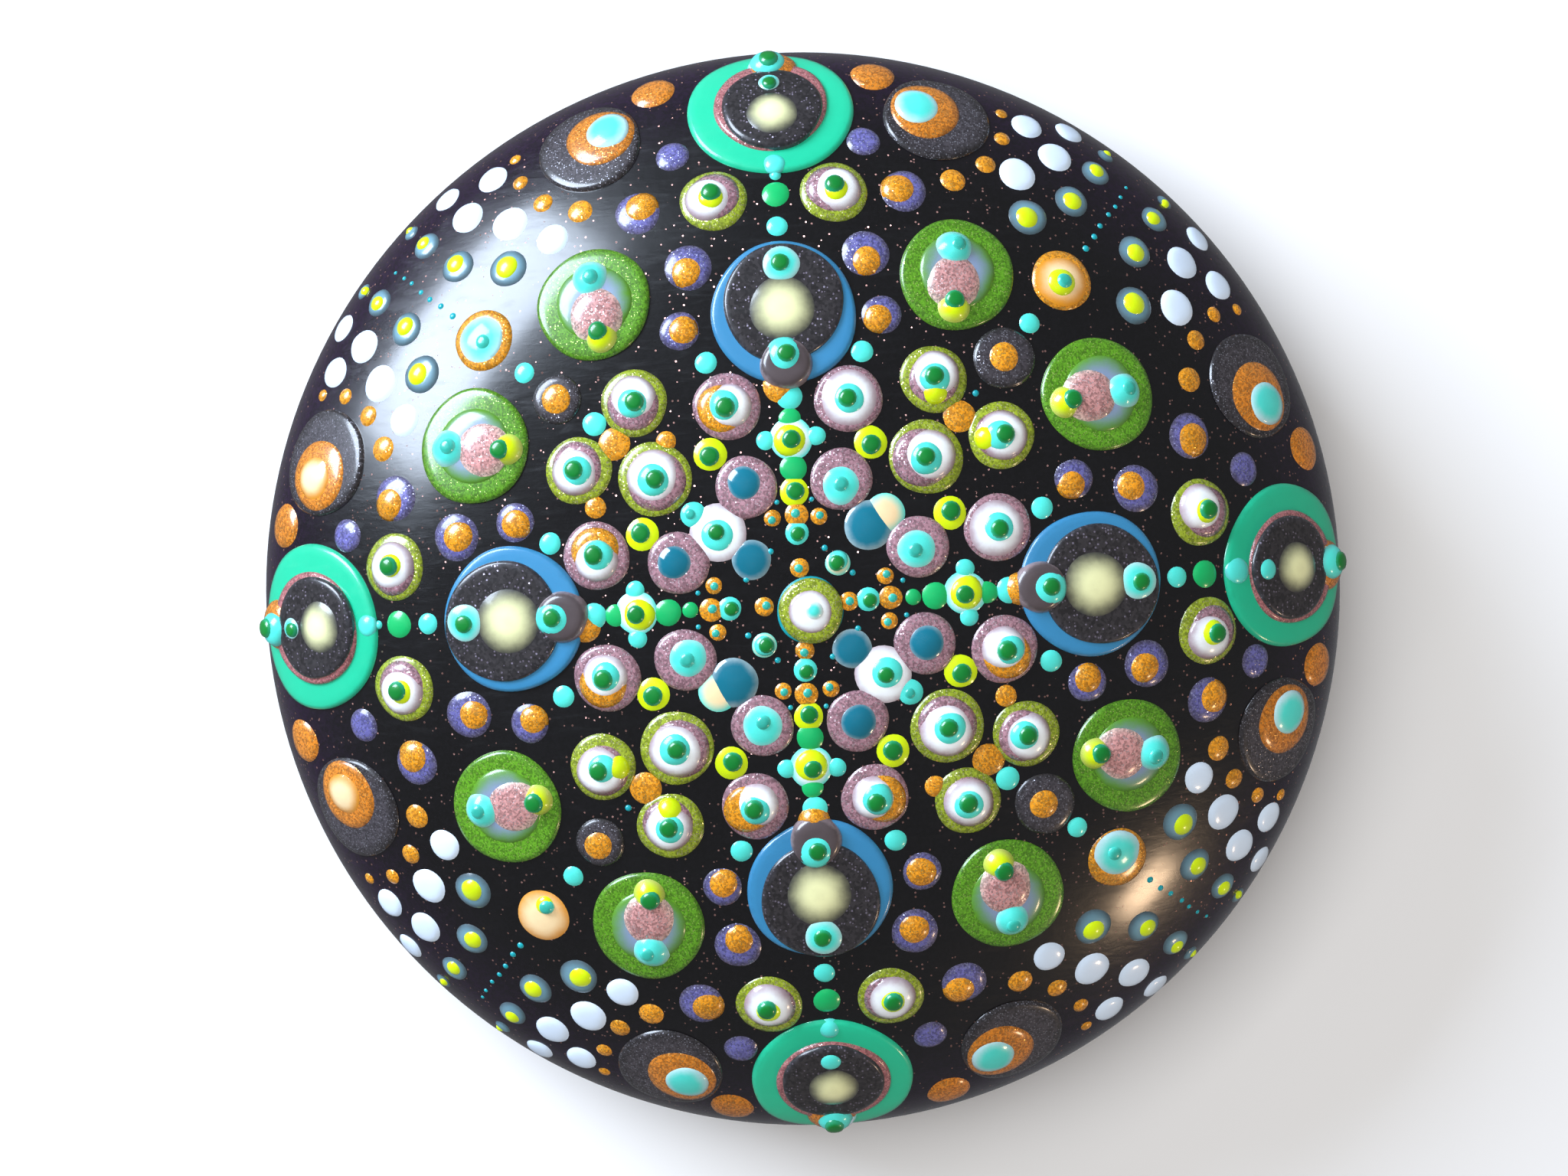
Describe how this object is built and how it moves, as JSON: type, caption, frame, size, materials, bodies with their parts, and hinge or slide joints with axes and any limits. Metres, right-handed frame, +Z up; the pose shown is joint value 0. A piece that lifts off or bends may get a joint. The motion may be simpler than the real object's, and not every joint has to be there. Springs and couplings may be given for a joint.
{
  "type": "painted mandala stone",
  "caption": "Round dome-shaped stone, painted black and covered with raised, layered paint dots in a four-arm mandala; a paperweight and ornament.",
  "frame": {"origin": "centre of the flat base, on the surface the stone rests on", "axes": "+Z up through the top of the dome; +X and +Y along two neighbouring arms of the pattern"},
  "size_m": [0.0806, 0.0803, 0.029],
  "materials": {
    "cast_stone": "bare, fine-grained cast stone",
    "black_ground": "black acrylic, gloss varnished",
    "sky_blue": "opaque acrylic, gloss varnished",
    "teal": "opaque acrylic, gloss varnished",
    "deep_teal": "opaque acrylic, gloss varnished",
    "graphite_glaze": "dark metallic glaze, gloss varnished",
    "pearl_glaze": "pinkish pearl glaze, gloss varnished",
    "rose_metallic": "rose metallic acrylic, gloss varnished",
    "lilac_pearl": "lilac pearl acrylic, gloss varnished",
    "rose_pearl": "rose pearl acrylic, gloss varnished",
    "cream": "cream acrylic, gloss varnished",
    "peach_cream": "peach cream acrylic, gloss varnished",
    "white": "white acrylic, gloss varnished",
    "ice_white": "bluish white acrylic, gloss varnished",
    "turquoise": "turquoise acrylic, gloss varnished",
    "green_metallic": "grass green metallic acrylic, gloss varnished",
    "olive_glitter": "olive glitter acrylic, gloss varnished",
    "mauve_glitter": "mauve glitter acrylic, gloss varnished",
    "gold_metallic": "gold metallic acrylic, gloss varnished",
    "copper_metallic": "copper metallic acrylic, gloss varnished",
    "charcoal_glitter": "charcoal glitter acrylic, gloss varnished",
    "lilac_metallic": "lilac metallic acrylic, gloss varnished",
    "lime": "lime acrylic, gloss varnished",
    "deep_green": "deep green acrylic, gloss varnished",
    "sea_green": "sea green acrylic, gloss varnished",
    "emerald": "emerald acrylic, gloss varnished",
    "dark_teal_gloss": "glossy dark teal acrylic",
    "slate_blue": "slate blue acrylic, gloss varnished"
  },
  "bodies": {
    "root": {"stone_blank": "cast_stone", "black_ground_coat": "black_ground", "centre_teal_disc": "deep_teal", "centre_olive_disc": "olive_glitter", "centre_white_dome": "white", "centre_turquoise_top": "turquoise", "blue_discs": "sky_blue", "blue_disc_graphite_lenses": "graphite_glaze", "blue_disc_pearl_lenses": "pearl_glaze", "blue_disc_cream_domes": "cream", "teal_discs": "teal", "teal_disc_rose_rings": "rose_metallic", "teal_disc_graphite_lenses": "graphite_glaze", "teal_disc_cream_domes": "cream", "rim_copper_discs": "copper_metallic", "rim_gold_dots": "copper_metallic", "rim_pearl_dots": "ice_white", "rim_white_dots": "ice_white", "green_discs": "green_metallic", "green_disc_lilac_lenses": "lilac_pearl", "green_disc_rose_domes": "rose_pearl", "green_disc_turquoise_domes": "turquoise", "green_disc_lime_domes": "lime", "charcoal_discs": "charcoal_glitter", "charcoal_disc_copper_domes": "copper_metallic", "charcoal_disc_turquoise_domes": "turquoise", "charcoal_disc_cream_domes": "peach_cream", "diagonal_charcoal_dots": "charcoal_glitter", "orange_discs": "gold_metallic", "diagonal_cream_domes": "peach_cream", "diagonal_turquoise_domes": "turquoise", "olive_dots": "olive_glitter", "mauve_dots": "mauve_glitter", "mauve_centres": "mauve_glitter", "gold_crescents": "gold_metallic", "white_domes": "white", "lime_crescents": "lime", "turquoise_centres": "turquoise", "green_pips": "deep_green", "lime_centres": "lime", "lilac_dots": "lilac_metallic", "gold_centres": "gold_metallic", "gold_beads": "gold_metallic", "turquoise_beads": "turquoise", "turquoise_pips": "sea_green", "emerald_beads": "emerald", "quatrefoil_petals": "turquoise", "quatrefoil_white_domes": "white", "lime_dots": "lime", "cream_dots": "peach_cream", "turquoise_domes": "turquoise", "dark_teal_domes": "dark_teal_gloss", "slate_dots": "slate_blue", "teal_trail_dots": "deep_teal"}
  },
  "joints": []
}
